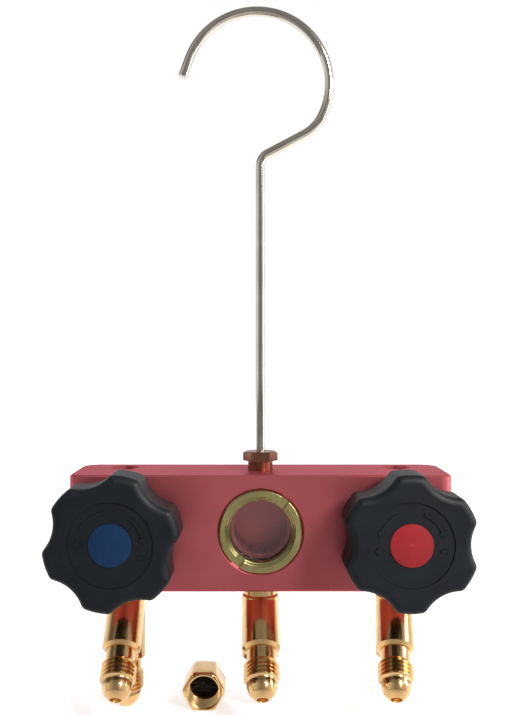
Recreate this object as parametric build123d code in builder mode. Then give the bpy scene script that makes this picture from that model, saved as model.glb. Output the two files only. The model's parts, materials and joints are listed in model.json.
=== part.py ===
from build123d import *

import os
from math import cos, radians, sin, tan

os.makedirs("parts", exist_ok=True)

# Two-valve refrigeration manifold with a sight glass, hung by a wire hook.
# Millimetres. +Z is up along the hook's shank, -Y is the front with the hand knobs, and the
# origin is inside the hook's crown, where the rail that carries it bears.

# ---------------------------------------------------------------- driving dimensions

# Block
block_width = 122.0
block_depth = 28.0
block_height = 37.0
axis_drop = 18.0  # block top to the axis of the valves and the window
front_corner_round = 3.5
rear_corner_round = 6.0
block_edge_break = 0.6
edge_break = 0.3
end_margin = 16.6  # block end to the axis of its valve and port
plug_bore_radius = 4.0
plug_length = 6.0
plug_inset = 0.4
plug_key = 4.0  # across the flats of the hexagon key
plug_key_depth = 3.0
gallery_radius = 2.0
gallery_depth = 10.6  # from the block's front face
port_bore_radius = 5.0
port_bore_depth = 9.0
passage_radius = 2.5
side_passage_depth = 17.2  # from the block's front face
gauge_margin = 15.0  # block end to the axis of its gauge port
gauge_bore_radius = 4.3
gauge_bore_depth = 10.0
gauge_bore_setback = 6.0  # behind the block's middle
gauge_lead_in = 0.7

# Hook
wire_radius = 1.55
shank_rise = 103.9  # block top to the corner where the wire turns off
shank_corner_radius = 4.3
lead_angle = 27.8  # degrees above the horizontal
lead_length = 16.3
throat_radius = 14.0
throat_turn = 35.0
crook_radius = 24.1
crook_turn = 187.0
tip_length = 6.5
foot_head_radius = 2.75
foot_head_height = 1.2

# Hook nut
nut_across_flats = 10.0
nut_height = 3.1
nut_neck_radius = 4.1
nut_neck_height = 3.1
nut_thread_length = 5.4
nut_face_radius = 4.8
nut_chamfer = 0.6

# Sight glass
ring_radius = 13.1
ring_opening_radius = 9.9
ring_height = 4.0
ring_proud = 0.4
ring_bevel = 1.3
spanner_slot_width = 3.0
spanner_slot_depth = 1.4
spanner_slot_angle = 53.0
lens_radius = 12.0
lens_thickness = 3.0
lens_side_play = 0.15
lens_seal_radius = 0.7
lens_seal_mean_radius = 10.6
window_radius = 8.75
window_depth = 20.0
recess_lead_in = 0.75

# Hand valves
chamber_radius = 4.5
seat_depth = 13.0  # from the block's front face
orifice_radius = 2.0
bonnet_radius = 6.95
bonnet_length = 7.4
bonnet_across_flats = 17.0
bonnet_head_height = 3.0
bonnet_head_chamfer = 1.5
bonnet_bore_extra = 0.1
bonnet_land_start = 0.8  # from the block's front face
washer_thickness = 1.0
bonnet_washer_width = 1.4
stem_thread_radius = 4.0
stem_thread_length = 4.0
stem_land_radius = 3.2
stem_groove_radius = 2.2
stem_groove_width = 1.5
stem_groove_start = 0.9  # ahead of the block's front face with the valve shut
stem_ring_radius = 0.49
stem_shoulder_gap = 0.3  # stem's land ahead of the bonnet's face
stem_square = 4.5
stem_square_length = 8.3
stem_neck_radius = 1.25
stem_neck_length = 0.95
stem_button_radius = 2.05
stem_button_height = 1.3
holder_radius = 3.7
holder_lip = 0.7
holder_web = 0.55
disc_radius = 3.0
disc_thickness = 2.05
disc_proud = 0.7

# Knobs
knob_radius = 20.6
knob_valley_radius = 17.8
knob_scallop_radius = 12.0
knob_lobe_round = 2.6
knob_lobes = 6
knob_thickness = 15.0
knob_gap = 5.0
knob_front_round = 2.2
knob_rear_round = 0.8
knob_wall = 2.6
knob_hub_radius = 6.6
knob_rib_width = 1.6
knob_pocket_depth = 9.0
knob_dish_radius = 12.8
knob_dish_depth = 0.5
knob_socket_extra = 0.2  # socket beyond the end of the stem's square
knob_turn = {"left": -12.0, "right": 0.0}
cap_radius = 6.4
cap_thickness = 2.4
cap_proud = 0.3  # above the knob's dished face
cap_crown = 0.5
screw_radius = 1.5
screw_length = 8.0
screw_head_radius = 3.0
screw_head_height = 2.0
screw_head_round = 0.6
screw_head_play = 0.3
screw_hole_play = 0.2
screw_slot_turn = 40.0
screw_web = 1.5
screw_slot_width = 0.8
screw_slot_depth = 1.0

# Port fittings
bar_radius = 6.1
bar_top_drop = 4.5
bar_length = 20.8
bar_chamfer = 0.6
neck_radius = 5.5
fitting_thread_length = 8.0
leg_drop = 7.0  # block bottom to where the leg's axis leaves the bar's
leg_slope = 45.0
leg_length = 17.4
leg_chamfer = 1.0
leg_bore_radius = 1.7
heel_round = 1.6
fitting_turn = {"left": 0.0, "centre": 1.3, "right": -7.0}
port_washer_radius = 5.9
port_washer_thickness = 1.0

# Quarter-inch flare end
flare_neck_radius = 4.65
flare_neck_length = 4.0
stud_neck_length = {"left": 4.0, "centre": 2.4}
flare_thread_radius = 5.55
flare_thread_length = 6.4
flare_pilot_radius = 4.6
flare_pilot_length = 1.8
flare_lead_radius = 3.9
flare_lead_length = 1.9
flare_nose_radius = 2.2
flare_cone_length = 3.6

# Loose flare cap
flare_cap_across_flats = 12.6
flare_cap_length = 12.3
flare_cap_bore_depth = 8.2
flare_cap_lead_in = 0.3
flare_cap_face_radius = 6.1
flare_cap_chamfer = 1.5
cap_seal_radius = 4.8
cap_seal_thickness = 1.5
flare_cap_x = -18.6
flare_cap_mouth_y = -6.4

# Clearances
thread_clearance = 0.05
running_clearance = 0.05

# ---------------------------------------------------------------- derived places

# The wire's middle line from the corner up to the crook's centre
lead_run = lead_length * cos(radians(lead_angle))
lead_lift = lead_length * sin(radians(lead_angle))
throat_x = lead_run - throat_radius * sin(radians(lead_angle))
throat_lift = lead_lift + throat_radius * cos(radians(lead_angle))
crook_heading = lead_angle + throat_turn
crook_x = throat_x - (crook_radius - throat_radius) * sin(radians(crook_heading))
crook_lift = throat_lift + (crook_radius - throat_radius) * cos(radians(crook_heading))
hang_drop = shank_rise + crook_lift + crook_radius - wire_radius

block_top = -hang_drop
axis_z = block_top - axis_drop
block_bottom = block_top - block_height
front_y = -block_depth / 2
sides = {"left": -1, "right": 1}
valve_x = {side: sign * (block_width / 2 - end_margin) for side, sign in sides.items()}
gauge_x = block_width / 2 - gauge_margin
port_x = {"left": valve_x["left"], "centre": 0.0, "right": valve_x["right"]}

ring_bore_radius = ring_radius + thread_clearance
lens_front = ring_height - ring_proud
lens_bore_radius = lens_radius + lens_side_play
lens_back = lens_front + lens_thickness
window_start = lens_back + 2 * lens_seal_radius

bonnet_bore_radius = bonnet_radius + thread_clearance
bonnet_bore_depth = bonnet_length + bonnet_bore_extra
stem_bore_radius = stem_thread_radius + running_clearance
land_bore_radius = stem_land_radius + running_clearance
disc_front = seat_depth - running_clearance
disc_back = disc_front - disc_thickness
holder_front = disc_front - disc_proud
socket_front = disc_back - holder_web
button_front = socket_front - running_clearance
button_back = button_front - stem_button_height
holder_back = button_back - running_clearance - holder_lip
thread_back = button_back - stem_neck_length
land_back = thread_back - stem_thread_length
bonnet_front = -(washer_thickness + bonnet_head_height)
land_front = bonnet_front - stem_shoulder_gap
stem_front = -(knob_gap + stem_square_length)

knob_rear_y = front_y - knob_gap
web_rear = stem_square_length + knob_socket_extra
web_front = web_rear + screw_web
knob_face = knob_thickness - knob_dish_depth
cap_floor = knob_face + cap_proud - cap_thickness

bar_foot = bar_top_drop + bar_length
flare_threaded_length = flare_thread_length + flare_pilot_length + flare_cone_length
flare_length = flare_neck_length + flare_threaded_length
floor_z = block_bottom - bar_foot - max(stud_neck_length.values()) - flare_threaded_length


# ---------------------------------------------------------------- shared shapes


def half_section(*corners):
    """A closed half section in the open sketch, each corner as (radius, station)."""
    Polygon(*corners, align=None)


def turning_plane(x, y, z, along=(0, 1, 0)):
    """A plane whose second direction is the axis that a turned piece spins about."""
    across = Vector(0, 0, 1) if abs(along[2]) < 0.5 else Vector(1, 0, 0)
    second = Vector(*along).normalized()
    first = second.cross(across).normalized()
    return Plane(origin=(x, y, z), x_dir=first, z_dir=first.cross(second))


def axis_of(plane):
    return Axis(plane.origin, plane.y_dir)


def flare_outline(start, neck_length):
    """Half section of a flare end that begins at a station and points up the axis."""
    thread_start = start + neck_length
    thread_end = thread_start + flare_thread_length
    pilot_end = thread_end + flare_pilot_length
    lead = flare_thread_radius - flare_pilot_radius
    half_section(
        (0, start - bar_chamfer),
        (flare_neck_radius, start - bar_chamfer),
        (flare_neck_radius, thread_start - lead / 2),
        (flare_thread_radius, thread_start + lead / 2),
        (flare_thread_radius, thread_end - lead),
        (flare_pilot_radius, thread_end),
        (flare_pilot_radius, pilot_end),
        (flare_lead_radius, pilot_end + flare_lead_length),
        (flare_nose_radius, pilot_end + flare_cone_length),
        (0, pilot_end + flare_cone_length),
    )


def valve_plane(side):
    """Stations run into the block from its front face, on a valve's axis."""
    return turning_plane(valve_x[side], front_y, axis_z)


def facing_plane(x, y, z):
    """A plane that faces the front, with X to the right and Z up."""
    return Plane(origin=(x, y, z), x_dir=(1, 0, 0), z_dir=(0, -1, 0))


# ---------------------------------------------------------------- block

with BuildPart() as body_block:
    with BuildSketch(Plane.XY.offset(block_bottom)):
        Rectangle(block_width, block_depth)
    extrude(amount=block_height)
    uprights = body_block.edges().filter_by(Axis.Z).group_by(Axis.Y)
    fillet(uprights[0], radius=front_corner_round)
    rear_uprights = body_block.edges().filter_by(Axis.Z).group_by(Axis.Y)[-1]
    fillet(rear_uprights, radius=rear_corner_round)
    chamfer(body_block.faces().filter_by(Axis.Z).edges(), length=block_edge_break)

    # Sight glass recess, its lead-in, the lens seat and the window chamber behind it
    with BuildSketch(turning_plane(0, front_y, axis_z)):
        half_section(
            (0, 0),
            (ring_bore_radius + recess_lead_in, 0),
            (ring_bore_radius, recess_lead_in),
            (ring_bore_radius, lens_front),
            (lens_bore_radius, lens_front),
            (lens_bore_radius, window_start),
            (window_radius, window_start),
            (window_radius, window_depth),
            (0, window_depth),
        )
    revolve(axis=axis_of(turning_plane(0, front_y, axis_z)), mode=Mode.SUBTRACT)

    # A valve chamber, its seat orifice and the passage it opens into, on each side
    for side, x in valve_x.items():
        with Locations(facing_plane(x, front_y, axis_z)):
            Hole(bonnet_bore_radius, bonnet_bore_depth)
            Hole(chamber_radius, seat_depth)
            Hole(orifice_radius, side_passage_depth)
        with Locations(Plane(origin=(x, front_y + side_passage_depth, block_top - 1))):
            Hole(passage_radius, block_height - port_bore_depth)

    # Port bores in the underside, and the centre port's passage up to the window chamber
    for x in port_x.values():
        with Locations(Plane(origin=(x, 0, block_bottom), z_dir=(0, 0, -1))):
            Hole(port_bore_radius, port_bore_depth)
    with Locations(Plane(origin=(0, 0, block_bottom), z_dir=(0, 0, -1))):
        Hole(passage_radius, block_height - axis_drop)

    # Gauge ports and the hook nut's bore in the top
    for sign in sides.values():
        with Locations(
            Plane(origin=(sign * gauge_x, gauge_bore_setback, block_top))
        ):
            CounterSinkHole(
                gauge_bore_radius, gauge_bore_radius + gauge_lead_in, gauge_bore_depth, 90
            )
    with Locations(Plane(origin=(0, 0, block_top))):
        Hole(
            nut_neck_radius + thread_clearance,
            nut_thread_length + foot_head_height + 4 * thread_clearance,
        )

    # Gallery from each end, through the valve chamber to the window, with its plug's bore
    for sign in sides.values():
        end = Plane(
            origin=(sign * block_width / 2, front_y + gallery_depth, axis_z),
            z_dir=(sign, 0, 0),
        )
        with Locations(end):
            Hole(plug_bore_radius, plug_length + plug_inset)
            Hole(gallery_radius, block_width / 2 - window_radius + gallery_radius)
body_block.part.label = "body_block"
export_step(body_block.part, "parts/body_block.step")


def make_gallery_plug(side):
    """Screwed plug with a hexagon key, which shuts the gallery at one end of the block."""
    sign = sides[side]
    outer = Plane(
        origin=(sign * (block_width / 2 - plug_inset), front_y + gallery_depth, axis_z),
        z_dir=(sign, 0, 0),
    )
    with BuildPart() as gallery_plug:
        with BuildSketch(outer):
            Circle(plug_bore_radius - thread_clearance)
        extrude(amount=-plug_length)
        chamfer(gallery_plug.faces().filter_by(Axis.X).edges(), length=edge_break)
        with BuildSketch(outer):
            RegularPolygon(plug_key / 2, side_count=6, major_radius=False)
        extrude(amount=-plug_key_depth, mode=Mode.SUBTRACT)
    gallery_plug.part.label = f"gallery_plug_{side}"
    export_step(gallery_plug.part, f"parts/gallery_plug_{side}.step")


for side in sides:
    make_gallery_plug(side)

# ---------------------------------------------------------------- sight glass

window_plane = turning_plane(0, front_y, axis_z)

with BuildPart() as sight_ring:
    with BuildSketch(window_plane):
        half_section(
            (ring_opening_radius, ring_bevel - ring_proud),
            (ring_opening_radius + ring_bevel, -ring_proud),
            (ring_radius - edge_break, -ring_proud),
            (ring_radius, edge_break - ring_proud),
            (ring_radius, lens_front),
            (ring_opening_radius, lens_front),
        )
    revolve(axis=axis_of(window_plane))
    slot_plane = facing_plane(0, front_y - ring_proud, axis_z)
    with BuildSketch(slot_plane):
        with PolarLocations(ring_radius, 2, start_angle=spanner_slot_angle):
            Rectangle(3 * (ring_radius - ring_opening_radius), spanner_slot_width)
    extrude(amount=-spanner_slot_depth, mode=Mode.SUBTRACT)
sight_ring.part.label = "sight_ring"
export_step(sight_ring.part, "parts/sight_ring.step")

with BuildPart() as sight_lens:
    with BuildSketch(facing_plane(0, front_y + lens_back, axis_z)):
        Circle(lens_radius)
    extrude(amount=lens_thickness)
    chamfer(sight_lens.edges(), length=edge_break)
sight_lens.part.label = "sight_lens"
export_step(sight_lens.part, "parts/sight_lens.step")

with BuildPart() as sight_seal:
    with BuildSketch(window_plane):
        with Locations((lens_seal_mean_radius, lens_back + lens_seal_radius)):
            Circle(lens_seal_radius)
    revolve(axis=axis_of(window_plane))
sight_seal.part.label = "sight_seal"
export_step(sight_seal.part, "parts/sight_seal.step")

# ---------------------------------------------------------------- hook and its nut

nut_base = block_top - nut_thread_length
nut_bearing = block_top + nut_neck_height
wire_bore_radius = wire_radius + running_clearance

with BuildPart() as hook_nut:
    with BuildSketch(Plane.XY.offset(nut_base)):
        Circle(nut_neck_radius)
    extrude(amount=nut_thread_length + nut_neck_height)
    chamfer(hook_nut.edges().group_by(Axis.Z)[0], length=nut_chamfer)
    with BuildSketch(Plane.XY.offset(nut_bearing)):
        RegularPolygon(nut_across_flats / 2, side_count=6, major_radius=False)
    extrude(amount=nut_height)
    nut_crown = turning_plane(0, 0, nut_bearing, along=(0, 0, 1))
    with BuildSketch(nut_crown):
        chamfer_width = nut_chamfer / tan(radians(30))
        half_section(
            (nut_face_radius, nut_height),
            (nut_face_radius + chamfer_width, nut_height - nut_chamfer),
            (nut_face_radius + chamfer_width, nut_height),
        )
    revolve(axis=axis_of(nut_crown), mode=Mode.SUBTRACT)
    with Locations(Plane.XY.offset(nut_bearing + nut_height)):
        Hole(wire_bore_radius, nut_height + nut_neck_height + nut_thread_length)
hook_nut.part.label = "hook_nut"
export_step(hook_nut.part, "parts/hook_nut.step")

head_top = nut_base - running_clearance
head_base = head_top - foot_head_height
corner_setback = shank_corner_radius * tan(radians((90 - lead_angle) / 2))

with BuildPart() as hook:
    with BuildLine(Plane.XZ):
        shank = Line((0, head_base), (0, block_top + shank_rise - corner_setback))
        corner = JernArc(shank @ 1, shank % 1, shank_corner_radius, lead_angle - 90)
        lead = PolarLine(corner @ 1, lead_length - corner_setback, lead_angle)
        throat = JernArc(lead @ 1, lead % 1, throat_radius, throat_turn)
        crook = JernArc(throat @ 1, throat % 1, crook_radius, crook_turn)
        PolarLine(crook @ 1, tip_length, crook_heading + crook_turn)
    with BuildSketch(Plane.XY.offset(head_base)):
        Circle(wire_radius)
    sweep()
    with BuildSketch(Plane.XY.offset(head_base)):
        Circle(foot_head_radius)
    extrude(amount=foot_head_height)
hook.part.label = "hook"
export_step(hook.part, "parts/hook.step")

# ---------------------------------------------------------------- hand valves


def make_bonnet(side):
    """Screwed bonnet with a hexagon head, bored for the stem's thread and sealing land."""
    plane = valve_plane(side)
    seating = -washer_thickness
    rim = bonnet_across_flats / 2
    with BuildPart() as bonnet:
        with BuildSketch(facing_plane(valve_x[side], front_y + seating, axis_z)):
            RegularPolygon(bonnet_across_flats / 2, side_count=6, major_radius=False)
        extrude(amount=bonnet_head_height)
        with BuildSketch(plane):
            half_section(
                (0, bonnet_front),
                (bonnet_radius, bonnet_front),
                (bonnet_radius, bonnet_length - edge_break),
                (bonnet_radius - edge_break, bonnet_length),
                (0, bonnet_length),
            )
        revolve(axis=axis_of(plane))
        with BuildSketch(plane):
            half_section(
                (rim, bonnet_front),
                (rim + bonnet_head_chamfer / tan(radians(30)), bonnet_front + bonnet_head_chamfer),
                (rim + bonnet_head_chamfer / tan(radians(30)), bonnet_front),
            )
        revolve(axis=axis_of(plane), mode=Mode.SUBTRACT)
        with BuildSketch(plane):
            half_section(
                (0, bonnet_front),
                (land_bore_radius, bonnet_front),
                (land_bore_radius, bonnet_land_start),
                (stem_bore_radius, bonnet_land_start),
                (stem_bore_radius, bonnet_length),
                (0, bonnet_length),
            )
        revolve(axis=axis_of(plane), mode=Mode.SUBTRACT)
    bonnet.part.label = f"bonnet_{side}"
    export_step(bonnet.part, f"parts/bonnet_{side}.step")


def make_bonnet_washer(side):
    """Flat washer between the bonnet's head and the block."""
    inner = bonnet_radius + thread_clearance
    with BuildPart() as bonnet_washer:
        with BuildSketch(facing_plane(valve_x[side], front_y, axis_z)):
            Circle(inner + bonnet_washer_width)
            Circle(inner, mode=Mode.SUBTRACT)
        extrude(amount=washer_thickness)
    bonnet_washer.part.label = f"bonnet_washer_{side}"
    export_step(bonnet_washer.part, f"parts/bonnet_washer_{side}.step")


def make_stem(side):
    """Valve stem: button, neck, thread, sealing land with its groove, and square."""
    plane = valve_plane(side)
    groove_back = stem_groove_width - stem_groove_start
    with BuildPart() as stem:
        with BuildSketch(plane):
            half_section(
                (0, button_front),
                (stem_button_radius, button_front),
                (stem_button_radius, button_back),
                (stem_neck_radius, button_back),
                (stem_neck_radius, thread_back),
                (stem_thread_radius, thread_back),
                (stem_thread_radius, land_back),
                (stem_land_radius, land_back),
                (stem_land_radius, groove_back),
                (stem_groove_radius, groove_back),
                (stem_groove_radius, -stem_groove_start),
                (stem_land_radius, -stem_groove_start),
                (stem_land_radius, land_front),
                (0, land_front),
            )
        revolve(axis=axis_of(plane))
        with BuildSketch(facing_plane(valve_x[side], front_y + land_front, axis_z)):
            Rectangle(stem_square, stem_square, rotation=knob_turn[side])
        extrude(amount=land_front - stem_front)
        with Locations(facing_plane(valve_x[side], front_y + stem_front, axis_z)):
            Hole(screw_radius + thread_clearance, screw_length)
    stem.part.label = f"stem_{side}"
    export_step(stem.part, f"parts/stem_{side}.step")


def make_stem_ring(side):
    """Sealing ring in the stem's groove."""
    plane = valve_plane(side)
    middle = stem_groove_width / 2 - stem_groove_start
    with BuildPart() as stem_ring:
        with BuildSketch(plane):
            with Locations(((stem_groove_radius + land_bore_radius) / 2, middle)):
                Circle(stem_ring_radius)
        revolve(axis=axis_of(plane))
    stem_ring.part.label = f"stem_ring_{side}"
    export_step(stem_ring.part, f"parts/stem_ring_{side}.step")


def make_seat_holder(side):
    """Cup that carries the seat disc and swivels on the stem's button."""
    plane = valve_plane(side)
    socket_radius = stem_button_radius + 2 * running_clearance
    lip_radius = stem_neck_radius + 2 * running_clearance
    with BuildPart() as seat_holder:
        with BuildSketch(plane):
            half_section(
                (lip_radius, holder_back),
                (holder_radius, holder_back),
                (holder_radius, holder_front),
                (disc_radius + thread_clearance, holder_front),
                (disc_radius + thread_clearance, disc_back),
                (0, disc_back),
                (0, socket_front),
                (socket_radius, socket_front),
                (socket_radius, holder_back + holder_lip),
                (lip_radius, holder_back + holder_lip),
            )
        revolve(axis=axis_of(plane))
    seat_holder.part.label = f"seat_holder_{side}"
    export_step(seat_holder.part, f"parts/seat_holder_{side}.step")


def make_seat_disc(side):
    """Soft disc that shuts the seat orifice."""
    plane = valve_plane(side)
    with BuildPart() as seat_disc:
        with BuildSketch(plane):
            half_section(
                (0, disc_back),
                (disc_radius, disc_back),
                (disc_radius, disc_front),
                (0, disc_front),
            )
        revolve(axis=axis_of(plane))
    seat_disc.part.label = f"seat_disc_{side}"
    export_step(seat_disc.part, f"parts/seat_disc_{side}.step")


def lobed_outline(side):
    """The knob's outline: a circle with a scallop between each pair of lobes."""
    first_valley = 180 / knob_lobes + 90 + knob_turn[side]
    Circle(knob_radius)
    with PolarLocations(
        knob_valley_radius + knob_scallop_radius, knob_lobes, start_angle=first_valley
    ):
        Circle(knob_scallop_radius, mode=Mode.SUBTRACT)


def make_knob(side):
    """Moulded hand knob: lobed skirt, cored lobes, ribs, hub with a square socket."""
    x = valve_x[side]
    rear = facing_plane(x, knob_rear_y, axis_z)
    with BuildPart() as knob:
        with BuildSketch(rear) as outline:
            lobed_outline(side)
            fillet(outline.vertices(), radius=knob_lobe_round)
        extrude(amount=knob_thickness)
        fillet(knob.faces().sort_by(Axis.Y)[0].edges(), radius=knob_front_round)
        fillet(knob.faces().sort_by(Axis.Y)[-1].edges(), radius=knob_rear_round)
        with BuildSketch(rear.offset(knob_thickness)):
            Circle(knob_dish_radius)
        extrude(amount=-knob_dish_depth, mode=Mode.SUBTRACT)
        # Cored from behind, with a rib from the hub into each lobe
        with BuildSketch(rear):
            lobed_outline(side)
            offset(amount=-knob_wall, kind=Kind.INTERSECTION, mode=Mode.REPLACE)
            Circle(knob_hub_radius, mode=Mode.SUBTRACT)
            with PolarLocations(knob_radius / 2, knob_lobes, start_angle=90 + knob_turn[side]):
                Rectangle(2 * knob_radius, knob_rib_width, mode=Mode.SUBTRACT)
        extrude(amount=knob_pocket_depth, mode=Mode.SUBTRACT)
        with BuildSketch(rear):
            socket = stem_square + 2 * running_clearance
            Rectangle(socket, socket, rotation=knob_turn[side])
        extrude(amount=web_rear, mode=Mode.SUBTRACT)
        with Locations(rear.offset(knob_face)):
            Hole(cap_radius + thread_clearance, cap_thickness - cap_proud)
            Hole(screw_head_radius + screw_head_play, knob_face - web_front)
            Hole(screw_radius + screw_hole_play, knob_face)
    knob.part.label = f"knob_{side}"
    export_step(knob.part, f"parts/knob_{side}.step")


def make_knob_screw(side):
    """Slotted screw that holds the knob on the stem's square."""
    x = valve_x[side]
    under_head = facing_plane(x, knob_rear_y - web_front, axis_z)
    with BuildPart() as knob_screw:
        with BuildSketch(under_head):
            Circle(screw_head_radius)
        extrude(amount=screw_head_height)
        fillet(knob_screw.faces().sort_by(Axis.Y)[0].edges(), radius=screw_head_round)
        with BuildSketch(under_head):
            Circle(screw_radius)
        extrude(amount=-screw_length)
        with BuildSketch(under_head.offset(screw_head_height)):
            Rectangle(3 * screw_head_radius, screw_slot_width, rotation=screw_slot_turn)
        extrude(amount=-screw_slot_depth, mode=Mode.SUBTRACT)
    knob_screw.part.label = f"knob_screw_{side}"
    export_step(knob_screw.part, f"parts/knob_screw_{side}.step")


def make_knob_cap(side):
    """Coloured cap pressed into the knob's face, slightly crowned."""
    x = valve_x[side]
    floor_plane = turning_plane(x, knob_rear_y - cap_floor, axis_z, along=(0, -1, 0))
    with BuildPart() as knob_cap:
        with BuildSketch(floor_plane):
            with BuildLine():
                crown = TangentArc(
                    (0, cap_thickness + cap_crown), (cap_radius, cap_thickness), tangent=(1, 0)
                )
                Polyline(crown @ 1, (cap_radius, 0), (0, 0), crown @ 0)
            make_face()
        revolve(axis=axis_of(floor_plane))
    knob_cap.part.label = f"knob_cap_{side}"
    export_step(knob_cap.part, f"parts/knob_cap_{side}.step")


for side in sides:
    make_bonnet(side)
    make_bonnet_washer(side)
    make_stem(side)
    make_stem_ring(side)
    make_seat_holder(side)
    make_seat_disc(side)
    make_knob(side)
    make_knob_screw(side)
    make_knob_cap(side)

# ---------------------------------------------------------------- port fittings


def make_port_fitting(name):
    """Brass fitting: screwed top, upright bar, sloping flare leg, and a parking stud."""
    x = port_x[name]
    yaw = radians(fitting_turn[name])
    forward = (sin(yaw), -cos(yaw))
    down = turning_plane(x, 0, block_bottom, along=(0, 0, -1))
    slope = radians(leg_slope)
    leg = turning_plane(
        x, 0, block_bottom - leg_drop,
        along=(forward[0] * sin(slope), forward[1] * sin(slope), -cos(slope)),
    )
    flare_end = leg_length + flare_length
    with BuildPart() as port_fitting:
        # Screwed top, neck and upright bar
        with BuildSketch(down):
            foot_cut = bar_chamfer if name in stud_neck_length else heel_round
            half_section(
                (0, -fitting_thread_length),
                (port_bore_radius - thread_clearance, -fitting_thread_length),
                (port_bore_radius - thread_clearance, port_washer_thickness),
                (neck_radius, port_washer_thickness),
                (neck_radius, bar_top_drop - bar_chamfer),
                (bar_radius, bar_top_drop),
                (bar_radius, bar_foot - foot_cut),
                (bar_radius - foot_cut, bar_foot),
                (0, bar_foot),
            )
        revolve(axis=axis_of(down))
        # Sloping leg and its flare end
        with BuildSketch(leg):
            half_section(
                (0, 0),
                (bar_radius, 0),
                (bar_radius, leg_length - leg_chamfer),
                (bar_radius - leg_chamfer, leg_length),
                (0, leg_length),
            )
            flare_outline(leg_length, flare_neck_length)
        revolve(axis=axis_of(leg))
        if name in stud_neck_length:
            with BuildSketch(down):
                flare_outline(bar_foot, stud_neck_length[name])
            revolve(axis=axis_of(down))
        # Passage: down from the block, then out along the leg
        with BuildSketch(down):
            half_section(
                (0, -fitting_thread_length),
                (leg_bore_radius, -fitting_thread_length),
                (leg_bore_radius, leg_drop),
                (0, leg_drop),
            )
        revolve(axis=axis_of(down), mode=Mode.SUBTRACT)
        with BuildSketch(leg):
            half_section(
                (0, 0),
                (leg_bore_radius, 0),
                (leg_bore_radius, flare_end),
                (0, flare_end),
            )
        revolve(axis=axis_of(leg), mode=Mode.SUBTRACT)
    port_fitting.part.label = f"port_fitting_{name}"
    export_step(port_fitting.part, f"parts/port_fitting_{name}.step")


def make_port_washer(name):
    """Flat washer between the fitting's neck and the block's underside."""
    with BuildPart() as port_washer:
        with BuildSketch(Plane(origin=(port_x[name], 0, block_bottom), z_dir=(0, 0, -1))):
            Circle(port_washer_radius)
            Circle(port_bore_radius, mode=Mode.SUBTRACT)
        extrude(amount=port_washer_thickness)
    port_washer.part.label = f"port_washer_{name}"
    export_step(port_washer.part, f"parts/port_washer_{name}.step")


for name in port_x:
    make_port_fitting(name)
    make_port_washer(name)

# ---------------------------------------------------------------- loose flare cap

cap_axis_z = floor_z + flare_cap_across_flats / 2
cap_bore_radius = flare_thread_radius + thread_clearance
cap_plane = turning_plane(flare_cap_x, flare_cap_mouth_y, cap_axis_z)

with BuildPart() as flare_cap:
    with BuildSketch(facing_plane(flare_cap_x, flare_cap_mouth_y, cap_axis_z)):
        RegularPolygon(flare_cap_across_flats / 2, side_count=6, major_radius=False)
    extrude(amount=-flare_cap_length)
    with BuildSketch(cap_plane):
        half_section(
            (0, 0),
            (cap_bore_radius + flare_cap_lead_in, 0),
            (cap_bore_radius, flare_cap_lead_in),
            (cap_bore_radius, flare_cap_bore_depth),
            (cap_seal_radius + thread_clearance, flare_cap_bore_depth),
            (cap_seal_radius + thread_clearance, flare_cap_bore_depth + cap_seal_thickness),
            (0, flare_cap_bore_depth + cap_seal_thickness),
        )
    revolve(axis=axis_of(cap_plane), mode=Mode.SUBTRACT)
    # Corners turned down at both ends
    for start, inward in ((0, 1), (flare_cap_length, -1)):
        with BuildSketch(cap_plane):
            chamfer_radius = flare_cap_face_radius + flare_cap_chamfer
            half_section(
                (flare_cap_face_radius, start),
                (chamfer_radius, start + inward * flare_cap_chamfer),
                (chamfer_radius, start),
            )
        revolve(axis=axis_of(cap_plane), mode=Mode.SUBTRACT)
flare_cap.part.label = "flare_cap"
export_step(flare_cap.part, "parts/flare_cap.step")

with BuildPart() as flare_cap_seal:
    with BuildSketch(cap_plane):
        seal_back = flare_cap_bore_depth + cap_seal_thickness
        half_section(
            (0, flare_cap_bore_depth),
            (cap_seal_radius, flare_cap_bore_depth),
            (cap_seal_radius, seal_back),
            (0, seal_back),
        )
    revolve(axis=axis_of(cap_plane))
flare_cap_seal.part.label = "flare_cap_seal"
export_step(flare_cap_seal.part, "parts/flare_cap_seal.step")
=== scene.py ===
import json
from math import acos, atan2, cos, degrees, hypot, pi, radians, sin, tan

import bpy
from mathutils import Matrix, Vector


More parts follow.
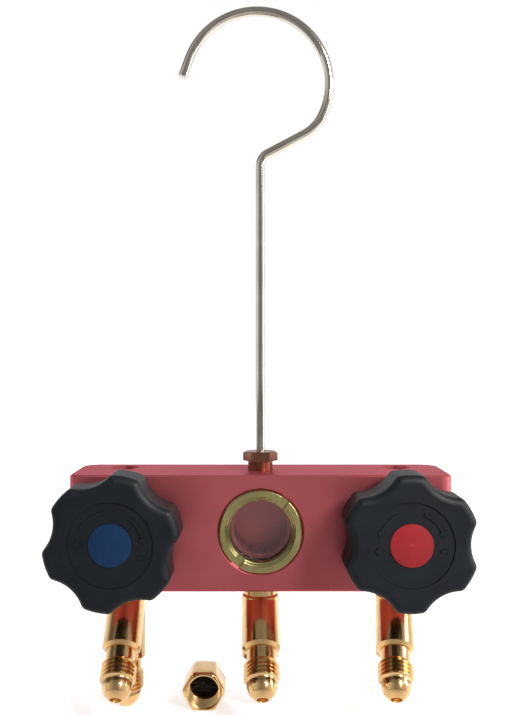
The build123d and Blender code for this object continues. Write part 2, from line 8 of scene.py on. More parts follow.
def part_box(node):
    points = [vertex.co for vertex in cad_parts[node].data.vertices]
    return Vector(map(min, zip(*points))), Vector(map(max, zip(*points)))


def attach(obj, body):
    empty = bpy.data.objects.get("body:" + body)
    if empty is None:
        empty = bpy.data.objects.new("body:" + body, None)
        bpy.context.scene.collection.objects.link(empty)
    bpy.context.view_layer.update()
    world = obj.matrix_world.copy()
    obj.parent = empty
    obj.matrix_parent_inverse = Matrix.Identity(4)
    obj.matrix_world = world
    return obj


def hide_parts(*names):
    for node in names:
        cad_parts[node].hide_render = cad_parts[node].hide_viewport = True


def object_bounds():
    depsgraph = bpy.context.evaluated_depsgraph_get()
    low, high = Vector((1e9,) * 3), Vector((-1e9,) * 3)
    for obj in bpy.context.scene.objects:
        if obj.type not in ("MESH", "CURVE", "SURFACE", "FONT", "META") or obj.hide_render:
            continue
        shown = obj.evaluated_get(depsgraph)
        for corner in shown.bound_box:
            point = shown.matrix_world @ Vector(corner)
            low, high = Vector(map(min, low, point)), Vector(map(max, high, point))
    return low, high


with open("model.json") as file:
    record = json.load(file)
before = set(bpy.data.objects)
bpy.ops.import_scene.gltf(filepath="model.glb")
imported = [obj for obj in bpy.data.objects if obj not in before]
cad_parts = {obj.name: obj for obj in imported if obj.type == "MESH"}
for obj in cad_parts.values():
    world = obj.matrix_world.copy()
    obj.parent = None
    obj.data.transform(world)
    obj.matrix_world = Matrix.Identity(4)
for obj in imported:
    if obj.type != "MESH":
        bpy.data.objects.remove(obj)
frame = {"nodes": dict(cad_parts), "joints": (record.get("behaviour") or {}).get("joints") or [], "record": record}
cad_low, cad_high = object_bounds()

MM = 0.001
weld = 0.002 * MM  # points closer than this are one
round_sides = 72
nodes = frame["nodes"]
joints = {joint["name"]: joint for joint in frame["joints"]}

# ------------------------------------------------------------------ places read from the frame

block_low, block_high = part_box("body_block")
front_y = block_low[1]
floor_z = cad_low[2]
valve_x = {side: joints[f"knob_turn_{side}"]["pos_m"][0] for side in ("left", "right")}
axis_z = joints["knob_turn_left"]["pos_m"][2]
port_x = {"left": valve_x["left"], "centre": 0.0, "right": valve_x["right"]}

# ------------------------------------------------------------------ sizes, millimetres and degrees

clear = 1.0  # how far a cutting tool stands out of the metal

# Hook
wire_radius, wire_sides = 1.55, 28
shank_rise = 103.9
shank_corner_radius = 4.3
lead_angle = 27.8
lead_length = 16.3
throat_radius, throat_turn = 14.0, 35.0
crook_radius, crook_turn = 24.1, 187.0
tip_length, tip_round = 6.5, 0.3

# Knobs
knob_radius = 20.6
knob_valley_radius = 17.8
knob_scallop_radius = 12.0
knob_lobe_round, pocket_lobe_round = 2.6, 0.3
knob_lobes = 6
knob_thickness = 15.0
knob_gap = 5.0
knob_front_round, knob_rear_round = 2.2, 0.8
knob_wall = 2.6
knob_hub_radius = 6.6
knob_rib_width = 1.6
knob_pocket_depth = 9.0
knob_dish_radius, knob_dish_depth = 12.8, 0.5
knob_cap_bore, knob_cap_floor = 6.45, 2.6
knob_turn = {"left": -12.0, "right": 0.0}
mark_radius, mark_width, mark_height = 9.8, 0.8, 0.35
mark_sink = 0.1  # a mark's foot below the dished face
arrow_head_spread, arrow_head_length, sign_width = 3.2, 1.8, 2.4

# Port fittings
bar_radius, bar_chamfer = 6.1, 0.6
bar_top_drop, bar_length = 4.5, 20.8
neck_radius, neck_top_drop = 5.5, 1.0
spigot_radius, spigot_rise = 4.9, 2.0
leg_drop, leg_slope, leg_length, leg_chamfer = 7.0, 45.0, 17.4, 1.0
heel_round = 1.6
fitting_turn = {"left": 0.0, "centre": 1.3, "right": -7.0}
leg_bore_radius = 1.7

# Quarter-inch flare end
flare_neck_radius = 4.65
flare_neck_length = 4.0
stud_neck_length = {"left": 4.0, "centre": 2.4}
flare_thread_radius, flare_thread_length, flare_thread_pitch = 5.55, 6.4, 1.27
flare_root_radius = 4.75
flare_pilot_radius, flare_pilot_length = 4.6, 1.8
flare_lead_radius, flare_lead_length = 3.9, 1.9
flare_nose_radius, flare_cone_length = 2.2, 3.6
flare_foot_sink, flare_foot_play = 0.5, 0.1  # how the end's foot sits inside its neck
flare_root_start, flare_root_runout = 0.3, 0.2
flare_edge_round = 0.2
flare_thread_start = 0.1  # from the end's foot, and the ridge ends as far past its length
outer_thread_sink, inner_thread_sink = 0.1, 0.05  # a ridge's foot inside the metal
thread_flank = 29.0
thread_fade = 1.8  # how steeply a ridge rises at its ends

# Loose flare cap
cap_across_flats, cap_length = 12.6, 12.3
cap_face_radius, cap_chamfer = 6.1, 1.5
cap_corner_round = 1.2
cap_bore_radius, cap_bore_depth, cap_lead_in = 5.6, 8.2, 0.3
cap_crest_radius, cap_thread_runout = 4.95, 0.6

# Gauge ports
gauge_bore_radius, gauge_bore_depth = 4.3, 10.0
gauge_crest_radius, gauge_pitch = 3.9, 0.94
gauge_thread_start, gauge_thread_runout = 0.7, 1.0
gauge_setback, gauge_margin = 6.0, 15.0


# ------------------------------------------------------------------ shader sums

class Socket:
    """A node's output that takes part in sums written as Python expressions."""

    def __init__(self, graph, socket):
        self.graph, self.socket = graph, socket

    def sum(self, operation, *values):
        return self.graph.add("ShaderNodeMath", {"operation": operation}, [self, *values])

    def __add__(self, other):
        return self.sum("ADD", other)

    def __sub__(self, other):
        return self.sum("SUBTRACT", other)

    def __rsub__(self, other):
        return self.graph.add("ShaderNodeMath", {"operation": "SUBTRACT"}, [other, self])

    def __mul__(self, other):
        return self.sum("MULTIPLY", other)

    __radd__ = __add__
    __rmul__ = __mul__


class Graph:
    """A node tree that is built up by add()."""

    def __init__(self, owner):
        self.owner = owner
        owner.use_nodes = True
        self.tree = owner.node_tree
        self.tree.nodes.clear()

    def plug(self, target, value):
        if isinstance(value, Socket):
            self.tree.links.new(value.socket, target)
        else:
            target.default_value = value

    def add(self, kind, settings=None, inputs=(), output=0):
        """A node with its settings, the values or links of its sockets, and the output to use."""
        node = self.tree.nodes.new(kind)
        for key, value in (settings or {}).items():
            setattr(node, key, value)
        pairs = inputs.items() if isinstance(inputs, dict) else enumerate(inputs)
        for key, value in pairs:
            self.plug(node.inputs[key], value)
        return Socket(self, node.outputs[output])

    def place(self, centre=(0, 0, 0), scale=(1, 1, 1)):
        """Object coordinates in metres, from a centre, then scaled."""
        where = self.add("ShaderNodeTexCoord", output="Object")
        shift = self.add("ShaderNodeVectorMath", {"operation": "SUBTRACT"}, [where, centre])
        return self.add("ShaderNodeMapping", {}, {"Vector": shift, "Scale": scale})

    def split(self, vector):
        return [self.add("ShaderNodeSeparateXYZ", {}, [vector], output=axis) for axis in "XYZ"]

    def noise(self, size, detail=3.0, **where):
        """Even mottling with features of a size in metres, from 0 to 1."""
        return self.add("ShaderNodeTexNoise", {}, {
            "Vector": self.place(**where), "Scale": 1 / size, "Detail": detail,
        })

    def spread(self, value, low, high, start=0.0, end=1.0):
        """Maps a value from low..high onto start..end, held at the ends."""
        return self.add("ShaderNodeMapRange", {"clamp": True}, [value, low, high, start, end])

    def blend(self, share, first, second):
        """A colour between two colours."""
        return self.add("ShaderNodeMix", {"data_type": "RGBA"},
                        {0: share, 6: first, 7: second}, output=2)

    def relief(self, height, depth, strength):
        """A surface direction from a height between 0 and 1, over a depth in metres."""
        return self.add("ShaderNodeBump", {}, {"Height": height, "Distance": depth, "Strength": strength})


class Finish(Graph):
    """One material, worn by the pieces made of it."""

    def __init__(self, name):
        super().__init__(bpy.data.materials.new(name))
        self.skin = self.tree.nodes.new("ShaderNodeBsdfPrincipled")
        out = self.tree.nodes.new("ShaderNodeOutputMaterial")
        self.tree.links.new(self.skin.outputs[0], out.inputs["Surface"])

    def wear(self, **sockets):
        """Sets the surface's sockets, named with underscores for spaces."""
        for key, value in sockets.items():
            self.plug(self.skin.inputs[key.replace("_", " ")], value)
        return self.owner


def colour(red, green, blue):
    """A screen colour from 0 to 255 as linear light."""
    def linear(channel):
        share = channel / 255
        return share / 12.92 if share <= 0.04045 else ((share + 0.055) / 1.055) ** 2.4
    return (linear(red), linear(green), linear(blue), 1.0)


def shade(tint, share):
    return colour(*(channel * share for channel in tint))


# ------------------------------------------------------------------ finishes

def anodised_red():
    """Bead-blasted and dyed aluminium: matt, slightly mottled."""
    finish = Finish("anodised_red")
    cloud = finish.noise(0.02, detail=2)
    grain = finish.noise(0.00018, detail=2)
    dye = finish.blend(finish.spread(cloud, 0.35, 0.65), colour(172, 86, 92), colour(182, 93, 98))
    return finish.wear(
        Base_Color=dye, Metallic=0.85, Specular_Tint=colour(232, 165, 180),
        Roughness=finish.spread(grain, 0.3, 0.7, 0.36, 0.44),
        Normal=finish.relief(grain, 0.00001, 0.35),
    )


def bright_brass():
    """Turned brass: bright, with faint smears and a slightly uneven polish."""
    finish = Finish("bright_brass")
    tint = (224, 184, 128)
    smear = finish.noise(0.004, detail=4)
    fine = finish.noise(0.0006, detail=3)
    metal = finish.blend(finish.spread(smear, 0.3, 0.7), colour(*tint), shade(tint, 0.92))
    return finish.wear(
        Base_Color=metal, Metallic=1.0,
        Roughness=finish.spread(smear, 0.3, 0.7, 0.12, 0.2),
        Normal=finish.relief(fine, 0.00001, 0.2),
    )


def turned_ring():
    """Dull yellow-green passivated brass with fine turning rings around the window's axis."""
    finish = Finish("turned_ring")
    across, _, upward = finish.split(finish.place(centre=(0, 0, axis_z)))
    radius = (across * across + upward * upward).sum("SQRT")
    rings = (radius * (2 * pi / 0.00062)).sum("SINE") * 0.5 + 0.5
    cloud = finish.noise(0.004, detail=3)
    metal = finish.blend(finish.spread(cloud, 0.3, 0.7), colour(190, 178, 122), colour(160, 152, 104))
    return finish.wear(
        Base_Color=metal, Metallic=1.0,
        Roughness=finish.spread(cloud, 0.3, 0.7, 0.24, 0.34),
        Normal=finish.relief(rings, 0.00006, 0.7),
    )


def darkened_brass():
    """Brass in a darker, browner tone than the fittings."""
    finish = Finish("darkened_brass")
    cloud = finish.noise(0.003, detail=4)
    metal = finish.blend(finish.spread(cloud, 0.35, 0.65), colour(140, 94, 74), colour(112, 76, 60))
    return finish.wear(
        Base_Color=metal, Metallic=1.0,
        Roughness=finish.spread(cloud, 0.3, 0.7, 0.26, 0.4),
    )


def plated_wire():
    """Bright nickel over steel wire, with faint drawing marks along it."""
    finish = Finish("plated_wire")
    marks = finish.noise(0.0004, detail=3, scale=(1, 1, 0.06))
    cloud = finish.noise(0.01, detail=3)
    metal = finish.blend(finish.spread(cloud, 0.35, 0.65), colour(214, 205, 192), colour(198, 190, 178))
    return finish.wear(
        Base_Color=metal, Metallic=1.0,
        Roughness=finish.spread(marks, 0.3, 0.7, 0.06, 0.12),
        Normal=finish.relief(marks, 0.00001, 0.2),
    )


def moulded_black():
    """Fine-grained black thermoplastic with a slight cold cast."""
    finish = Finish("moulded_black")
    cloud = finish.noise(0.008, detail=3)
    grain = finish.noise(0.00022, detail=2)
    body = finish.blend(finish.spread(cloud, 0.3, 0.7), colour(9, 14, 19), colour(16, 21, 26))
    return finish.wear(
        Base_Color=body, Roughness=finish.spread(grain, 0.3, 0.7, 0.46, 0.58),
        Specular_IOR_Level=0.22,
        Normal=finish.relief(grain, 0.00002, 0.5),
    )


def moulded_colour(name, tint):
    """Coloured plastic with a satin face."""
    finish = Finish(name)
    cloud = finish.noise(0.006, detail=2)
    grain = finish.noise(0.0003, detail=2)
    return finish.wear(
        Base_Color=finish.blend(finish.spread(cloud, 0.3, 0.7), colour(*tint), shade(tint, 0.92)),
        Roughness=finish.spread(grain, 0.3, 0.7, 0.4, 0.5), Specular_IOR_Level=0.22,
        Normal=finish.relief(grain, 0.00001, 0.3),
    )


def clear_lens():
    """Plain glass, very slightly hazy."""
    finish = Finish("clear_lens")
    haze = finish.noise(0.003, detail=2)
    return finish.wear(Base_Color=(1.0, 1.0, 1.0, 1.0), Transmission_Weight=1.0, IOR=1.45,
                       Roughness=finish.spread(haze, 0.3, 0.7, 0.0, 0.03))


def plain(name, tint, metallic=0.0, roughness=0.5):
    """A finish for small pieces that hardly show, with a little mottling."""
    finish = Finish(name)
    cloud = finish.noise(0.002, detail=3)
    return finish.wear(
        Base_Color=finish.blend(finish.spread(cloud, 0.3, 0.7), colour(*tint), shade(tint, 0.85)),
        Metallic=metallic,
        Roughness=finish.spread(cloud, 0.3, 0.7, roughness - 0.06, roughness + 0.06),
    )


finishes = {
    "red_anodised": anodised_red(),
    "brass": bright_brass(),
    "ring_brass": turned_ring(),
    "nut_brass": darkened_brass(),
    "chromed_wire": plated_wire(),
    "black_plastic": moulded_black(),
    "blue_plastic": moulded_colour("blue_cap", (2, 36, 70)),
    "red_plastic": moulded_colour("red_cap", (130, 24, 30)),
    "lens_glass": clear_lens(),
    "rubber": plain("rubber", (70, 56, 48), roughness=0.5),
    "steel": plain("steel", (150, 150, 152), metallic=1.0, roughness=0.3),
    "white_plastic": plain("white_plastic", (226, 226, 220), roughness=0.45),
    "fibre": plain("fibre", (150, 84, 56), roughness=0.7),
}
slot_of = {part["node"]: part["material_slot"] for part in frame["record"]["subparts"]}
for name, node in nodes.items():
    node.data.materials.clear()
    node.data.materials.append(finishes[slot_of[name]])


# ------------------------------------------------------------------ hand tools

def calm():
    """Object mode with nothing selected."""
    if bpy.context.mode != "OBJECT":
        bpy.ops.object.mode_set(mode="OBJECT")
    bpy.ops.object.select_all(action="DESELECT")


def choose(*pieces):
    """Selects the pieces, the first one active."""
    calm()
    for piece in pieces:
        piece.select_set(True)
    bpy.context.view_layer.objects.active = pieces[0]


def open_up(piece, select="SELECT"):
    """Edit mode on one piece, with all of its points selected or none."""
    choose(piece)
    bpy.ops.object.mode_set(mode="EDIT")
    bpy.ops.mesh.select_mode(type="VERT")
    bpy.ops.mesh.select_all(action=select)


def point(name, place):
    """A new piece that is a single point in edit mode, ready to be drawn out. Millimetres."""
    calm()
    bpy.ops.mesh.primitive_plane_add(size=MM, location=Vector(place) * MM)
    piece = bpy.context.object
    piece.name = name
    bpy.ops.object.transform_apply()
    bpy.ops.object.mode_set(mode="EDIT")
    bpy.ops.mesh.select_mode(type="VERT")
    bpy.ops.mesh.merge(type="CENTER")
    return piece


def run(across, back, up):
    """Draws the selected points out in a straight line."""
    bpy.ops.mesh.extrude_region_move(
        TRANSFORM_OT_translate={"value": Vector((across, back, up)) * MM})


def swing(centre, axis, turn, steps):
    """Draws the selected points round an arc, by the right-hand rule about its axis."""
    bpy.ops.mesh.spin(center=Vector(centre) * MM, axis=axis, angle=-radians(turn), steps=steps)


def smooth(piece, edge=28):
    """Smooths all but the real edges."""
    choose(piece)
    bpy.ops.object.shade_smooth_by_angle(angle=radians(edge))
    return piece


def tidy(piece, edge=28):
    """Merges doubled points, turns the faces outward and smooths all but the real edges."""
    open_up(piece)
    bpy.ops.mesh.remove_doubles(threshold=weld)
    bpy.ops.mesh.normals_make_consistent(inside=False)
    return smooth(piece, edge)


def applied(piece, kind, **settings):
    """Gives the piece a modifier and applies it."""
    choose(piece)
    modifier = piece.modifiers.new(kind.lower(), kind)
    for key, value in settings.items():
        setattr(modifier, key, value)
    bpy.ops.object.modifier_apply(modifier=modifier.name)
    return piece


def cut(piece, tool, operation="DIFFERENCE"):
    """Cuts the piece with a tool, or joins them into one skin, and clears the tool away."""
    applied(piece, "BOOLEAN", object=tool, operation=operation, solver="EXACT")
    bpy.data.objects.remove(tool)
    return piece


def moved(piece, matrix):
    """Puts the piece in place, with its place in its mesh."""
    choose(piece)
    piece.matrix_world = matrix
    bpy.context.view_layer.update()
    bpy.ops.object.transform_apply()
    return piece


def copied(piece, name, matrix):
    """A copy with its own mesh, put in place."""
    choose(piece)
    bpy.ops.object.duplicate()
    copy = bpy.context.object
    copy.name = name
    return moved(copy, matrix)


def joined(*pieces):
    choose(*pieces)
    bpy.ops.object.join()
    return bpy.context.object


def placing(place, along=(0, 0, 1)):
    """From a piece made at the origin and pointing up, to its place in millimetres and its axis."""
    turn = Vector((0, 0, 1)).rotation_difference(Vector(along)).to_matrix().to_4x4()
    return Matrix.Translation(Vector(place) * MM) @ turn


def rounded(radius, station, size, steps=6):
    """A round outer corner of a section, from its side to its far end."""
    angles = [radians(90 * step / steps) for step in range(steps + 1)]
    return [(radius - size + size * cos(angle), station - size + size * sin(angle))
            for angle in angles]


def turned(name, section, soften=0.0):
    """A piece turned about the upright axis from its section of (radius, station) corners.

    Where soften is given, the corners away from the axis are rounded by it.
    """
    piece = point(name, (section[0][0], 0, section[0][1]))
    for (radius, station), (following, onward) in zip(section, section[1:]):
        run(following - radius, 0, onward - station)
    if soften:
        bpy.ops.object.mode_set(mode="OBJECT")
        for vertex in piece.data.vertices:
            vertex.select = vertex.co.x > 0.01 * MM
        bpy.ops.object.mode_set(mode="EDIT")
        bpy.ops.mesh.bevel(offset=soften * MM, segments=2, affect="VERTICES")
    bpy.ops.mesh.select_all(action="SELECT")
    swing((0, 0, 0), (0, 0, 1), 360, round_sides)
    return tidy(piece)


def finished(piece, body, slot, *stands_for):
    """Names the piece's body, finish and the plain solids that it stands for."""
    piece.data.name = piece.name
    piece.data.materials.clear()
    piece.data.materials.append(finishes[slot])
    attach(piece, body)
    if stands_for:
        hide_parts(*stands_for)
    return piece


def helical_ridge(name, root, crest, pitch, start, end):
    """A thread's ridge wound up the axis, dying out at both ends. The crest may be inside."""
    depth = crest - root
    flank = abs(depth) * tan(radians(thread_flank))
    flat = pitch / 8
    piece = point(name, (root, 0, start - flank - flat / 2))
    run(depth, 0, flank)
    run(0, 0, flat)
    run(-depth, 0, flank)
    run(0, 0, -2 * flank - flat)
    bpy.ops.mesh.select_all(action="SELECT")
    bpy.ops.mesh.remove_doubles(threshold=weld)
    applied(piece, "SCREW", axis="Z", screw_offset=pitch * MM, iterations=int((end - start) / pitch) + 1,
            steps=round_sides, render_steps=round_sides)
    for vertex in piece.data.vertices:
        radius = hypot(vertex.co.x, vertex.co.y) / MM
        room = thread_fade * max(0.0, min(vertex.co.z / MM - start, end - vertex.co.z / MM))
        height = min(abs(radius - root), room) * (1 if depth > 0 else -1)
        vertex.co.x *= (root + height) / radius
        vertex.co.y *= (root + height) / radius
    open_up(piece)
    bpy.ops.mesh.fill_holes(sides=4)
    bpy.ops.mesh.normals_make_consistent(inside=False)
    return smooth(piece, edge=25)


def round_bar(name, radius, front, back, sides=96):
    """A round bar along the front-to-back axis."""
    calm()
    bpy.ops.mesh.primitive_cylinder_add(
        vertices=sides, radius=radius * MM, depth=(back - front) * MM,
        location=(0, (front + back) / 2 * MM, 0), rotation=(radians(90), 0, 0))
    bar = bpy.context.object
    bar.name = name
    bpy.ops.object.transform_apply()
    return bar


def square_bar(name, size, place, turn=0.0):
    """A box of a size at a place, turned about the front-to-back axis."""
    calm()
    bpy.ops.mesh.primitive_cube_add(size=1, location=Vector(place) * MM,
                                    rotation=(0, -radians(turn), 0), scale=Vector(size) * MM)
    bar = bpy.context.object
    bar.name = name
    bpy.ops.object.transform_apply()
    return bar


# ------------------------------------------------------------------ hook

def make_hook():
    """One length of wire drawn up the shank, round the corner and the throat, and round the crook."""
    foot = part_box("hook")[0][2] / MM
    top = block_high[2] / MM + shank_rise
    setback = shank_corner_radius * tan(radians((90 - lead_angle) / 2))
    calm()
    bpy.ops.mesh.primitive_circle_add(
        vertices=wire_sides, radius=wire_radius * MM, location=(0, 0, foot * MM))
    hook = bpy.context.object
    hook.name = "wire_hook"
    bpy.ops.object.transform_apply()
    bpy.ops.object.mode_set(mode="EDIT")
    bpy.ops.mesh.select_mode(type="VERT")
    bpy.ops.mesh.select_all(action="SELECT")
    run(0, 0, top - setback - foot)
    swing((shank_corner_radius, 0, top - setback), (0, 1, 0), 90 - lead_angle, 12)
    heading = radians(lead_angle)
    run((lead_length - setback) * cos(heading), 0, (lead_length - setback) * sin(heading))
    place = Vector((lead_length * cos(heading), 0, top + lead_length * sin(heading)))
    for radius, turn, steps in ((throat_radius, throat_turn, 14), (crook_radius, crook_turn, 72)):
        centre = place + radius * Vector((-sin(heading), 0, cos(heading)))
        swing(centre, (0, -1, 0), turn, steps)
        heading += radians(turn)
        place = centre + radius * Vector((sin(heading), 0, -cos(heading)))
    run(tip_length * cos(heading), 0, tip_length * sin(heading))
    bpy.ops.mesh.edge_face_add()
    bpy.ops.mesh.bevel(offset=tip_round * MM, segments=3, affect="EDGES")
    bpy.ops.mesh.select_all(action="SELECT")
    bpy.ops.mesh.fill_holes(sides=0)
    return finished(tidy(hook, edge=40), "hanger", "chromed_wire", "hook")


make_hook()


# ------------------------------------------------------------------ knobs

def draw_lobes(name, back, inset=0.0):
    """The knob's outline as a closed line round the front-to-back axis, with a lobe at the top."""
    scallop = knob_scallop_radius + inset
    lobe = max(knob_lobe_round - inset, pocket_lobe_round)
    lobe_reach = knob_radius - inset - lobe
    scallop_reach = knob_valley_radius + knob_scallop_radius
    spread = acos((lobe_reach ** 2 + scallop_reach ** 2 - (scallop + lobe) ** 2)
                  / (2 * lobe_reach * scallop_reach))
    lean = atan2(lobe_reach * sin(spread), scallop_reach - lobe_reach * cos(spread))
    pitch = 2 * pi / knob_lobes

    def at(reach, angle):
        return Vector((reach * cos(angle), back, reach * sin(angle)))

    piece = point(name, at(lobe_reach, spread) + Vector((lobe * cos(lean), 0, -lobe * sin(lean))))
    for index in range(knob_lobes):
        valley, following = index * pitch, (index + 1) * pitch
        swing(at(lobe_reach, valley + spread), (0, -1, 0), degrees(spread + lean), 8)
        swing((0, back, 0), (0, -1, 0), degrees(pitch - 2 * spread), 3)
        swing(at(lobe_reach, following - spread), (0, -1, 0), degrees(spread + lean), 8)
        swing(at(scallop_reach, following), (0, 1, 0), degrees(2 * lean), 12)
    bpy.ops.mesh.select_all(action="SELECT")
    bpy.ops.mesh.remove_doubles(threshold=0.01 * MM)
    bpy.ops.mesh.select_all(action="SELECT")
    bpy.ops.mesh.edge_face_add()
    return piece


def round_edge(piece, back, size, segments):
    """Rounds the outline's edge that lies at a distance back."""
    open_up(piece, "DESELECT")
    bpy.ops.object.mode_set(mode="OBJECT")
    for vertex in piece.data.vertices:
        vertex.select = abs(vertex.co.y / MM - back) < 0.01
    bpy.ops.object.mode_set(mode="EDIT")
    bpy.ops.mesh.bevel(offset=size * MM, segments=segments, affect="EDGES")
    calm()


def turn_mark(name, start, sweep):
    """A low curved arrow on the knob's face that shows a way to turn it."""
    base = knob_dish_depth + mark_sink
    inner = mark_radius - mark_width / 2
    first, last = radians(start), radians(start + sweep)
    way = 1 if sweep > 0 else -1
    piece = point(name, (inner * cos(first), base, inner * sin(first)))
    run(mark_width * cos(first), 0, mark_width * sin(first))
    bpy.ops.mesh.select_all(action="SELECT")
    swing((0, 0, 0), (0, -1, 0), sweep, 14)
    middle = Vector((mark_radius * cos(last), base, mark_radius * sin(last))) * MM
    run(0, 0, 0)
    bpy.ops.transform.resize(value=[arrow_head_spread] * 3, center_override=middle)
    run(*Vector((-sin(last), 0, cos(last))) * way * arrow_head_length)
    bpy.ops.mesh.merge(type="CENTER")
    bpy.ops.mesh.select_all(action="SELECT")
    bpy.ops.mesh.remove_doubles(threshold=weld)
    bpy.ops.mesh.select_all(action="SELECT")
    run(0, -(mark_height + mark_sink), 0)
    return tidy(piece)


def sign_mark(name, angle, crossed):
    """A low plus or minus sign on the knob's face."""
    thickness = mark_height + mark_sink
    place = (mark_radius * cos(radians(angle)), knob_dish_depth + mark_sink - thickness / 2,
             mark_radius * sin(radians(angle)))
    piece = square_bar(name, (sign_width, thickness, mark_width), place)
    if crossed:
        cut(piece, square_bar("upright", (mark_width, thickness, sign_width), place), "UNION")
    return piece


def make_knob():
    """Moulded hand knob: rounded lobes, dished face, cored back with ribs, and turn marks."""
    thickness = knob_thickness
    knob = draw_lobes("knob_moulding", 0)
    run(0, thickness, 0)
    tidy(knob)
    round_edge(knob, 0, knob_front_round, 6)
    round_edge(knob, thickness, knob_rear_round, 4)
    tidy(knob)
    cut(knob, round_bar("dish", knob_dish_radius, -clear, knob_dish_depth))
    cut(knob, round_bar("cap_bore", knob_cap_bore, -clear, knob_cap_floor))
    # The pocket behind, less its hub and ribs
    pocket = draw_lobes("pocket", thickness - knob_pocket_depth, inset=knob_wall)
    run(0, knob_pocket_depth + clear, 0)
    tidy(pocket)
    reach = knob_pocket_depth + 2 * clear
    cut(pocket, round_bar("hub", knob_hub_radius, thickness - reach, thickness + reach, sides=64))
    for index in range(knob_lobes // 2):
        cut(pocket, square_bar("rib", (knob_rib_width, 2 * reach, 3 * knob_radius),
                               (0, thickness, 0), index * 360 / knob_lobes))
    cut(knob, pocket)
    tidy(knob)
    knob = joined(
        knob, turn_mark("arrow_on", 112, 44), turn_mark("arrow_off", 68, -44),
        sign_mark("plus", 190, True), sign_mark("minus", -10, False),
    )
    return smooth(knob)


knob = make_knob()
for side, x in valve_x.items():
    centre = Matrix.Translation((x, front_y - (knob_gap + knob_thickness) * MM, axis_z))
    turn = Matrix.Rotation(-radians(knob_turn[side]), 4, "Y")
    finished(copied(knob, f"knob_{side}_moulding", centre @ turn),
             f"valve_{side}", "black_plastic", f"knob_{side}")
bpy.data.objects.remove(knob)


# ------------------------------------------------------------------ port fittings

def make_flare_end(name, bored):
    """The threaded end of a flare fitting, pointing up: thread, pilot and rounded nose."""
    pilot_end = flare_thread_length + flare_pilot_length
    tip = pilot_end + flare_cone_length
    foot_radius = flare_neck_radius - flare_foot_play
    section = [
        (0, -flare_foot_sink), (foot_radius, -flare_foot_sink), (foot_radius, 0),
        (flare_root_radius, flare_root_start), (flare_root_radius, flare_thread_length - flare_root_runout),
        (flare_pilot_radius, flare_thread_length), (flare_pilot_radius, pilot_end),
        (flare_lead_radius, pilot_end + flare_lead_length), (flare_nose_radius, tip),
    ]
    section += [(leg_bore_radius, tip), (leg_bore_radius, 0), (0, 0)] if bored else [(0, tip)]
    body = turned(name, section, soften=flare_edge_round)
    thread = helical_ridge("thread", flare_root_radius - outer_thread_sink, flare_thread_radius,
                           flare_thread_pitch, flare_thread_start,
                           flare_thread_length + flare_thread_start)
    return joined(body, thread)


def make_port_fitting(name, open_end, blind_end):
    """Brass fitting: neck, upright bar, sloping leg with its flare end, and a parking stud or a heel."""
    foot = bar_top_drop + bar_length
    stud_neck = stud_neck_length.get(name)
    yaw, slope = radians(fitting_turn[name]), radians(leg_slope)
    leg_along = Vector((sin(yaw) * sin(slope), -cos(yaw) * sin(slope), -cos(slope)))
    top = Vector((port_x[name] / MM, 0, block_low[2] / MM))
    leg_start = top - Vector((0, 0, leg_drop))
    if stud_neck:
        foot_end = [(bar_radius, foot - bar_chamfer), (bar_radius - bar_chamfer, foot),
                    (flare_neck_radius, foot), (flare_neck_radius, foot + stud_neck),
                    (0, foot + stud_neck)]
    else:
        foot_end = rounded(bar_radius, foot, heel_round) + [(0, foot)]
    bar = turned("bar", [
        (0, -spigot_rise), (spigot_radius, -spigot_rise), (spigot_radius, neck_top_drop),
        (neck_radius, neck_top_drop), (neck_radius, bar_top_drop - bar_chamfer),
        (bar_radius, bar_top_drop), *foot_end,
    ])
    moved(bar, placing(top, (0, 0, -1)))
    leg_neck = leg_length + flare_neck_length
    leg = turned("leg", [
        (0, 0), (bar_radius, 0), (bar_radius, leg_length - leg_chamfer),
        (bar_radius - leg_chamfer, leg_length), (flare_neck_radius, leg_length),
        (flare_neck_radius, leg_neck), (0, leg_neck),
    ])
    moved(leg, placing(leg_start, leg_along))
    tidy(cut(bar, leg, "UNION"))
    ends = [copied(open_end, "leg_end", placing(leg_start + leg_neck * leg_along, leg_along))]
    if stud_neck:
        ends.append(copied(blind_end, "stud_end",
                           placing(top - Vector((0, 0, foot + stud_neck)), (0, 0, -1))))
    fitting = joined(bar, *ends)
    fitting.name = f"port_{name}_fitting"
    return finished(fitting, "manifold", "brass", f"port_fitting_{name}")


open_end, blind_end = make_flare_end("open_end", True), make_flare_end("blind_end", False)
for name in port_x:
    make_port_fitting(name, open_end, blind_end)
for piece in (open_end, blind_end):
    bpy.data.objects.remove(piece)


# ------------------------------------------------------------------ loose flare cap

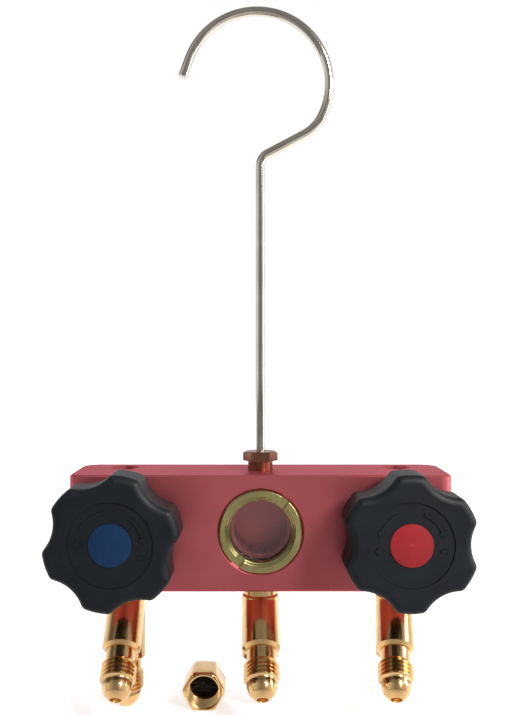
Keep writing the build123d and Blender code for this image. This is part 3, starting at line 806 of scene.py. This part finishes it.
def make_flare_cap():
    """Hexagon cap with its corners turned down and a threaded bore."""
    low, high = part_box("flare_cap")
    mouth = Vector(((low[0] + high[0]) / 2, low[1], (low[2] + high[2]) / 2)) / MM
    calm()
    bpy.ops.mesh.primitive_cylinder_add(
        vertices=6, radius=cap_across_flats / 2 / cos(radians(30)) * MM, depth=cap_length * MM,
        location=(0, 0, cap_length / 2 * MM), rotation=(0, 0, radians(30)))
    cap = bpy.context.object
    bpy.ops.object.transform_apply()
    bpy.ops.object.mode_set(mode="EDIT")
    bpy.ops.mesh.select_all(action="SELECT")
    bpy.ops.mesh.bevel(offset=cap_corner_round * MM, segments=5, affect="EDGES")
    calm()
    reach = cap_face_radius + cap_chamfer
    cut(cap, turned("barrel", [
        (0, 0), (cap_face_radius, 0), (reach, cap_chamfer), (reach, cap_length - cap_chamfer),
        (cap_face_radius, cap_length), (0, cap_length),
    ]), "INTERSECT")
    wall_radius = cap_bore_radius - inner_thread_sink
    cut(cap, turned("bore", [
        (0, -clear), (cap_bore_radius + cap_lead_in + clear, -clear),
        (wall_radius, cap_lead_in + inner_thread_sink),
        (wall_radius, cap_bore_depth), (0, cap_bore_depth),
    ]))
    tidy(cap)
    thread = helical_ridge("inner_thread", cap_bore_radius, cap_crest_radius,
                           flare_thread_pitch, cap_lead_in, cap_bore_depth - cap_thread_runout)
    cap = joined(cap, thread)
    cap.name = "flare_cap_turned"
    moved(cap, placing(mouth, (0, 1, 0)))
    return finished(cap, "manifold", "brass", "flare_cap")


make_flare_cap()


# ------------------------------------------------------------------ gauge port threads

gauge_thread = helical_ridge("gauge_thread", gauge_bore_radius + inner_thread_sink, gauge_crest_radius,
                             gauge_pitch, gauge_thread_start, gauge_bore_depth - gauge_thread_runout)
gauge_x = (block_high[0] - block_low[0]) / 2 / MM - gauge_margin
for side, sign in (("left", -1), ("right", 1)):
    mouth = (sign * gauge_x, gauge_setback, block_high[2] / MM)
    finished(copied(gauge_thread, f"gauge_thread_{side}", placing(mouth, (0, 0, -1))),
             "manifold", "red_anodised")
bpy.data.objects.remove(gauge_thread)


# ------------------------------------------------------------------ camera

eye_shift, eye_distance, eye_rise = -0.0016, 0.270, 0.0373  # from the block's top front edge, metres
camera = bpy.data.objects.new("camera", bpy.data.cameras.new("camera"))
bpy.context.scene.collection.objects.link(camera)
camera.data.lens, camera.data.sensor_width = 42.93, 36.0
camera.data.clip_start = 0.01
camera.location = (eye_shift, front_y - eye_distance, block_high[2] + eye_rise)
camera.rotation_euler = (radians(90), 0, 0)
bpy.context.scene.camera = camera


# ------------------------------------------------------------------ floor

calm()
bpy.ops.mesh.primitive_plane_add(size=4, location=(0, 0, floor_z))
floor = bpy.context.object
floor.name = "floor"
rays = ("Is Camera Ray", "Is Glossy Ray", "Is Transmission Ray")


def pale_floor():
    """Matt white that takes the object's shadow. Seen or mirrored it looks white, except that mirrored in front it
    turns darker: painted shade.
    """
    finish = Finish("pale_floor")
    seen, mirrored, through = [finish.add("ShaderNodeLightPath", output=ray) for ray in rays]
    _, depth, _ = finish.split(finish.place())
    mirrored = mirrored.sum("MAXIMUM", through)
    # painted shade: in front of the object, mirrored rays find a darker floor that does not glow
    front = finish.spread(depth, -0.08, 0.0, 1.0, 0.0)
    glow = seen.sum("MAXIMUM", mirrored * (1 - front)) * 0.6
    return finish.wear(
        Base_Color=finish.blend(mirrored * front, (0.7, 0.7, 0.7, 1), (0.3, 0.3, 0.3, 1)),
        Roughness=1.0, Specular_IOR_Level=0.0,
        Emission_Color=finish.blend(glow, (0, 0, 0, 1), (1, 1, 1, 1)), Emission_Strength=1.0,
    )


floor.data.materials.append(pale_floor())


# ------------------------------------------------------------------ surroundings and lamps

def surroundings():
    """A pale room, white where it is seen or mirrored, and darker in front and to the upper left."""
    world = bpy.data.worlds.new("surroundings")
    bpy.context.scene.world = world
    graph = Graph(world)
    across, depth, up = graph.split(graph.add("ShaderNodeTexCoord", output="Generated"))
    seen, mirrored, through = [graph.add("ShaderNodeLightPath", output=ray) for ray in rays]
    near = graph.spread(depth * -1, 0.3, 0.95)
    dark = graph.spread(across * -0.8 + up * 0.55 + depth * 0.1, 0.86, 0.97)
    lit = graph.spread(up, 0.0, 0.9, 0.55, 1.0) * graph.spread(across, -0.9, 0.9, 0.7, 1.0)
    plain_room = lit * (1 - near * 0.6)
    above = graph.spread(up, 0.4, 0.85)
    white = (1 - near * 0.75) * (1 - above * 0.7) * (1 - dark * 0.8)
    share = mirrored.sum("MAXIMUM", through)
    strength = (plain_room + share * (white - plain_room)).sum("MAXIMUM", seen)
    room = graph.add("ShaderNodeBackground", {}, [(1, 1, 1, 1), strength])
    out = graph.tree.nodes.new("ShaderNodeOutputWorld")
    graph.tree.links.new(room.socket, out.inputs["Surface"])


surroundings()


def lamp(name, place, size, power, tint):
    """A soft lamp, as wide and as high as its size, that faces the block. Metres and watts."""
    data = bpy.data.lights.new(name, "AREA")
    data.shape, data.energy, data.color = "RECTANGLE", power, tint
    data.size, data.size_y = size
    light = bpy.data.objects.new(name, data)
    bpy.context.scene.collection.objects.link(light)
    light.location = place
    aim = Vector((0, 0, axis_z)) - Vector(place)
    light.rotation_euler = aim.to_track_quat("-Z", "Y").to_euler()


lamp("key", (0.4, -0.48, axis_z + 0.4), (0.16, 0.24), 7.5, (1.0, 0.97, 0.93))
lamp("side", (0.62, -0.03, axis_z + 0.15), (0.2, 0.4), 1.8, (1.0, 0.98, 0.96))

bpy.context.scene.view_settings.view_transform = "Standard"
